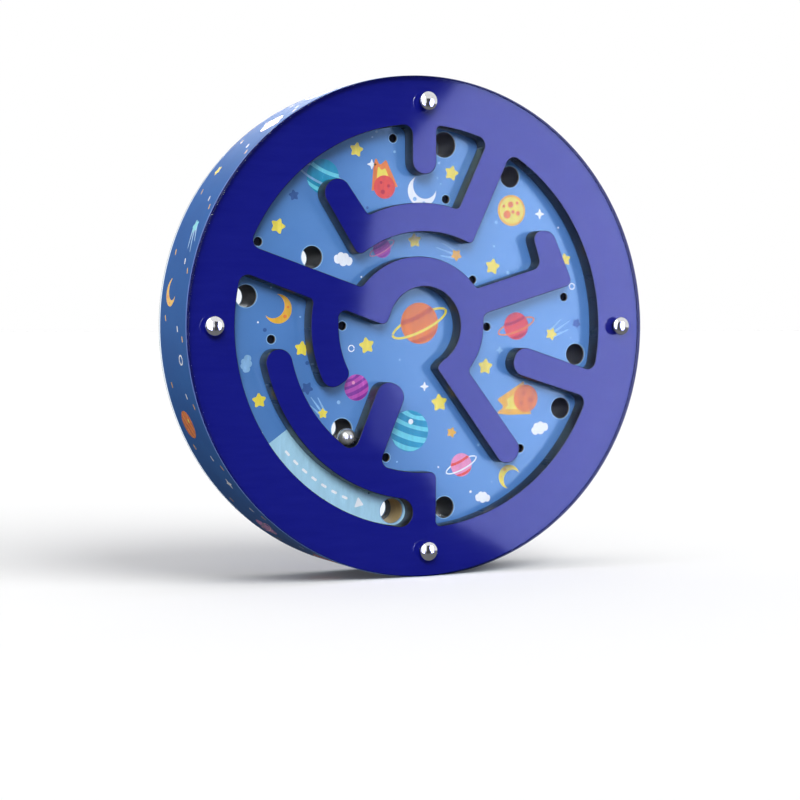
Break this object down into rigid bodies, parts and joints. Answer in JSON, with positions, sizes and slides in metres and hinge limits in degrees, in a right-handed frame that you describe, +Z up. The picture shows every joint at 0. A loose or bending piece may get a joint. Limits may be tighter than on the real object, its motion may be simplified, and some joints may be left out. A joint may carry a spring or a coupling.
{
  "type": "ball maze puzzle",
  "caption": "Round two-sided ball maze: cut wooden lanes between clear covers, with a steel ball that drops through holes to the other side.",
  "frame": {"origin": "on the rim's lowest flat facet, under the disc's centre, midway through its thickness", "axes": "+Z up through the disc's centre, Y along the disc's axis with the front face towards -Y, +X to the right as seen from the front"},
  "size_m": [0.18, 0.0372, 0.18],
  "materials": {
    "clear_acrylic": "clear polished acrylic",
    "painted_wood": "satin deep blue paint",
    "printed_paper": null,
    "raw_wood": "bare pale wood board",
    "edge_print": null,
    "rivet_chrome": "bright polished",
    "ball_steel": "polished bearing ball"
  },
  "bodies": {
    "case": {"front_cover": "clear_acrylic", "front_maze_frame": "painted_wood", "front_art_sheet": "printed_paper", "maze_board": "raw_wood", "back_art_sheet": "printed_paper", "back_maze_frame": "painted_wood", "back_cover": "clear_acrylic", "edge_band": "edge_print", "rivet_post_1": "rivet_chrome", "rivet_post_2": "rivet_chrome", "rivet_post_3": "rivet_chrome", "rivet_post_4": "rivet_chrome", "rivet_pin_1": "rivet_chrome", "rivet_pin_2": "rivet_chrome", "rivet_pin_3": "rivet_chrome", "rivet_pin_4": "rivet_chrome"},
    "ball": {"steel_ball": "ball_steel"}
  },
  "joints": [
    {"name": "ball_roll", "type": "hinge", "parent": "case", "child": "ball", "pos_m": [0, -0.01105, 0.09], "axis": [0, 1, 0], "range_deg": [0, 60]}
  ]
}
